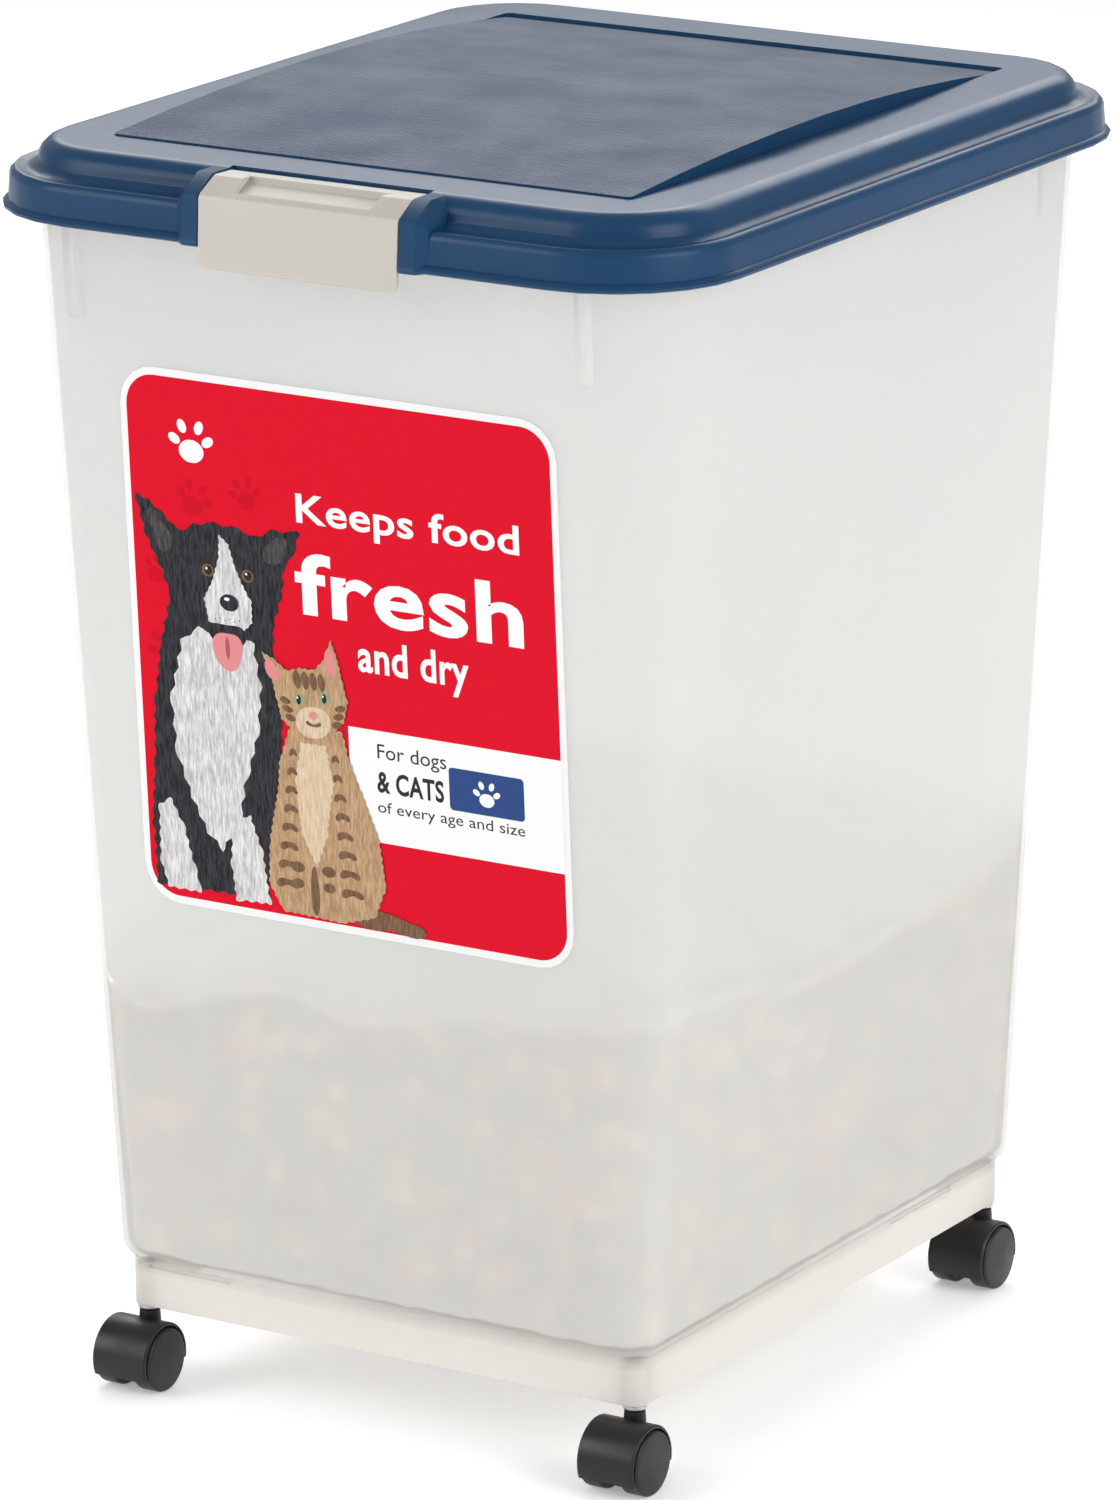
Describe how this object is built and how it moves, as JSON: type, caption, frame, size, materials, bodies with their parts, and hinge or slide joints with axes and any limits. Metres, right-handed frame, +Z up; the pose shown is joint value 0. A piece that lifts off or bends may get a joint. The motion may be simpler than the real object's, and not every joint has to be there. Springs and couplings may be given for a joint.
{
  "type": "pet food bin",
  "caption": "Tall tapered translucent storage bin for dry pet food, with a rear-hinged lid, a front snap latch and swivelling twin-wheel casters.",
  "frame": {"origin": "on the floor, under the middle of the object's bounding box", "axes": "+Z up, -Y towards the front, where the latch and the label are, +X to the right of someone facing the back"},
  "size_m": [0.3834, 0.4584, 0.6138],
  "materials": {
    "translucent_pp": "satin, milky translucent",
    "navy_pp": "satin, panel leather-grained",
    "ivory_pp": "satin",
    "gasket_foam": "matt closed-cell foam",
    "label_print": "printed film, semi-gloss",
    "pin_steel": "zinc plated",
    "caster_steel": "zinc plated",
    "caster_nylon": "black, satin"
  },
  "bodies": {
    "bin": {"tub": "translucent_pp", "label": "label_print", "hinge_pin_left": "pin_steel", "hinge_pin_right": "pin_steel", "socket_front_left": "caster_steel", "socket_front_right": "caster_steel", "socket_back_left": "caster_steel", "socket_back_right": "caster_steel"},
    "lid": {"lid": "navy_pp", "lid_gasket": "gasket_foam"},
    "latch": {"latch": "ivory_pp"},
    "swivel_front_left": {"stem_front_left": "caster_steel", "grip_ring_front_left": "caster_steel", "hood_front_left": "caster_nylon", "axle_front_left": "caster_steel"},
    "wheel_l_front_left": {"wheel_l_front_left": "caster_nylon"},
    "wheel_r_front_left": {"wheel_r_front_left": "caster_nylon"},
    "swivel_front_right": {"stem_front_right": "caster_steel", "grip_ring_front_right": "caster_steel", "hood_front_right": "caster_nylon", "axle_front_right": "caster_steel"},
    "wheel_l_front_right": {"wheel_l_front_right": "caster_nylon"},
    "wheel_r_front_right": {"wheel_r_front_right": "caster_nylon"},
    "swivel_back_left": {"stem_back_left": "caster_steel", "grip_ring_back_left": "caster_steel", "hood_back_left": "caster_nylon", "axle_back_left": "caster_steel"},
    "wheel_l_back_left": {"wheel_l_back_left": "caster_nylon"},
    "wheel_r_back_left": {"wheel_r_back_left": "caster_nylon"},
    "swivel_back_right": {"stem_back_right": "caster_steel", "grip_ring_back_right": "caster_steel", "hood_back_right": "caster_nylon", "axle_back_right": "caster_steel"},
    "wheel_l_back_right": {"wheel_l_back_right": "caster_nylon"},
    "wheel_r_back_right": {"wheel_r_back_right": "caster_nylon"}
  },
  "joints": [
    {"name": "lid_hinge", "type": "hinge", "parent": "bin", "child": "lid", "pos_m": [0, 0.2249, 0.5709], "axis": [-1, 0, 0], "range_deg": [0, 110]},
    {"name": "latch_pivot", "type": "hinge", "parent": "lid", "child": "latch", "pos_m": [0, -0.206, 0.601], "axis": [-1, 0, 0], "range_deg": [0, 80]},
    {"name": "swivel_front_left", "type": "hinge", "parent": "bin", "child": "swivel_front_left", "pos_m": [-0.1351, -0.1649, 0.0395], "axis": [0, 0, 1], "continuous": true},
    {"name": "wheel_l_front_left", "type": "hinge", "parent": "swivel_front_left", "child": "wheel_l_front_left", "pos_m": [-0.1351, -0.1744, 0.0155], "axis": [1, 0, 0], "continuous": true},
    {"name": "wheel_r_front_left", "type": "hinge", "parent": "swivel_front_left", "child": "wheel_r_front_left", "pos_m": [-0.1351, -0.1744, 0.0155], "axis": [1, 0, 0], "continuous": true},
    {"name": "swivel_front_right", "type": "hinge", "parent": "bin", "child": "swivel_front_right", "pos_m": [0.1351, -0.1649, 0.0395], "axis": [0, 0, 1], "continuous": true},
    {"name": "wheel_l_front_right", "type": "hinge", "parent": "swivel_front_right", "child": "wheel_l_front_right", "pos_m": [0.1351, -0.1744, 0.0155], "axis": [1, 0, 0], "continuous": true},
    {"name": "wheel_r_front_right", "type": "hinge", "parent": "swivel_front_right", "child": "wheel_r_front_right", "pos_m": [0.1351, -0.1744, 0.0155], "axis": [1, 0, 0], "continuous": true},
    {"name": "swivel_back_left", "type": "hinge", "parent": "bin", "child": "swivel_back_left", "pos_m": [-0.1351, 0.1649, 0.0395], "axis": [0, 0, 1], "continuous": true},
    {"name": "wheel_l_back_left", "type": "hinge", "parent": "swivel_back_left", "child": "wheel_l_back_left", "pos_m": [-0.1351, 0.1554, 0.0155], "axis": [1, 0, 0], "continuous": true},
    {"name": "wheel_r_back_left", "type": "hinge", "parent": "swivel_back_left", "child": "wheel_r_back_left", "pos_m": [-0.1351, 0.1554, 0.0155], "axis": [1, 0, 0], "continuous": true},
    {"name": "swivel_back_right", "type": "hinge", "parent": "bin", "child": "swivel_back_right", "pos_m": [0.1351, 0.1649, 0.0395], "axis": [0, 0, 1], "continuous": true},
    {"name": "wheel_l_back_right", "type": "hinge", "parent": "swivel_back_right", "child": "wheel_l_back_right", "pos_m": [0.1351, 0.1554, 0.0155], "axis": [1, 0, 0], "continuous": true},
    {"name": "wheel_r_back_right", "type": "hinge", "parent": "swivel_back_right", "child": "wheel_r_back_right", "pos_m": [0.1351, 0.1554, 0.0155], "axis": [1, 0, 0], "continuous": true}
  ]
}
